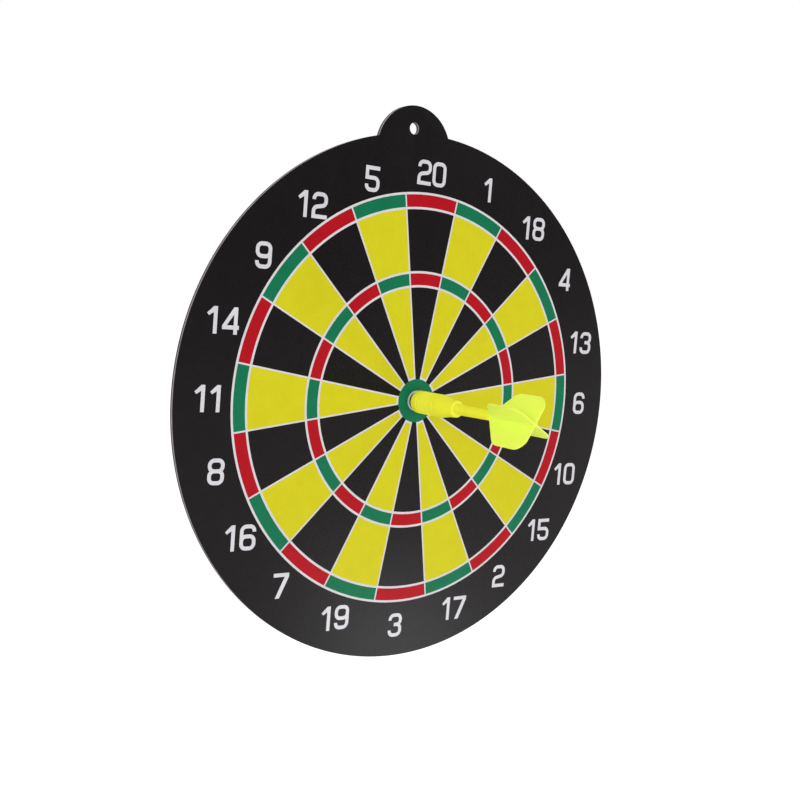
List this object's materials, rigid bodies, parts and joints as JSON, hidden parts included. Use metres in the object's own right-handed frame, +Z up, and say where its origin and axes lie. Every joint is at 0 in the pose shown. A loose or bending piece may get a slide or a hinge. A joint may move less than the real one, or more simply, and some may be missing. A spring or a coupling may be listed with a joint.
{
  "type": "magnetic dartboard",
  "caption": "Flat round magnetic dartboard with a hanging ear, printed scoring beds and numerals, and a magnetic dart on the bull.",
  "frame": {"origin": "centre of the hanging hole in the ear, on the board's back face (the wall side)", "axes": "+Z up, +X to the right as seen by someone who faces the board, -Y out of the printed face towards the player; the dart stands along -Y"},
  "size_m": [0.3, 0.1041, 0.3151],
  "materials": {
    "backing": "matt, dark brown-black board with a fibrous cut edge",
    "core": "light grey paper board, fibrous cut edge",
    "steel": "thin cold-rolled sheet, cut edge",
    "film": "satin black printed film",
    "white_ink": "white ink, satin",
    "yellow_ink": "yellow ink, satin",
    "red_ink": "red ink, satin",
    "green_ink": "green ink, satin",
    "silver_ink": "silver-white ink, satin",
    "magnet": "black sintered ferrite, satin",
    "dart_plastic": "moulded yellow plastic, slightly translucent, semi-gloss",
    "flight_plastic": "moulded yellow-green plastic, slightly translucent, semi-gloss"
  },
  "bodies": {
    "board": {"backing_board": "backing", "core_board": "core", "steel_sheet": "steel", "face_film": "film", "white_underprint": "white_ink", "yellow_outer_beds": "yellow_ink", "yellow_inner_beds": "yellow_ink", "red_double_beds": "red_ink", "red_treble_beds": "red_ink", "green_double_beds": "green_ink", "green_treble_beds": "green_ink", "green_outer_bull": "green_ink", "red_inner_bull": "red_ink", "numeral_01": "silver_ink", "numeral_02": "silver_ink", "numeral_03": "silver_ink", "numeral_04": "silver_ink", "numeral_05": "silver_ink", "numeral_06": "silver_ink", "numeral_07": "silver_ink", "numeral_08": "silver_ink", "numeral_09": "silver_ink", "numeral_10": "silver_ink", "numeral_11": "silver_ink", "numeral_12": "silver_ink", "numeral_13": "silver_ink", "numeral_14": "silver_ink", "numeral_15": "silver_ink", "numeral_16": "silver_ink", "numeral_17": "silver_ink", "numeral_18": "silver_ink", "numeral_19": "silver_ink", "numeral_20": "silver_ink"},
    "magnet": {"tip_magnet": "magnet"},
    "dart_barrel": {"barrel": "dart_plastic"},
    "dart_tail": {"stem": "dart_plastic", "flight": "flight_plastic"}
  },
  "joints": [
    {"name": "dart_pull", "type": "slide", "parent": "board", "child": "magnet", "axis": [0, -1, 0], "range_m": [0, 0.15]},
    {"name": "dart_spin", "type": "hinge", "parent": "magnet", "child": "dart_barrel", "pos_m": [0.0005, -0.0031, -0.1529], "axis": [0, -1, 0], "continuous": true},
    {"name": "tail_pull", "type": "slide", "parent": "dart_barrel", "child": "dart_tail", "axis": [0, -1, 0], "range_m": [0, 0.03]}
  ]
}
